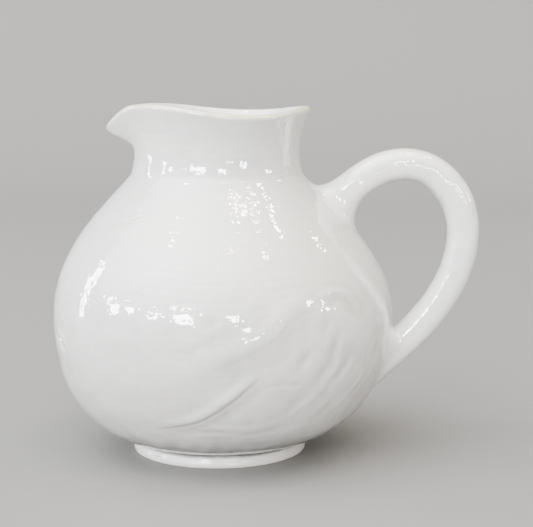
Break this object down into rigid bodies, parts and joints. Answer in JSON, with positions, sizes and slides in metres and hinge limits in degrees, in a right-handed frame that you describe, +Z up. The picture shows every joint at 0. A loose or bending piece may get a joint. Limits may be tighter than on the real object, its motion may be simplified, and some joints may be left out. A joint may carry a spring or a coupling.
{
  "type": "ceramic pitcher",
  "caption": "Squat round hand-built jug with a flared neck, a short pulled spout, a loop handle and a low foot ring.",
  "frame": {"origin": "middle of the bounding box in plan, on the table; the foot ring's centre is 27.3 mm from it towards the spout", "axes": "+X from the spout to the handle, the jug's longest extent; +Y away from the viewer who has the spout on the left; +Z up"},
  "size_m": [0.2458, 0.196, 0.2008],
  "materials": {
    "white_glaze": "glossy"
  },
  "bodies": {
    "root": {"foot_ring": "white_glaze", "lower_bowl": "white_glaze", "shoulder_dome": "white_glaze", "neck_and_spout": "white_glaze", "handle": "white_glaze", "handle_upper_wad": "white_glaze", "handle_lower_wad": "white_glaze"}
  },
  "joints": []
}
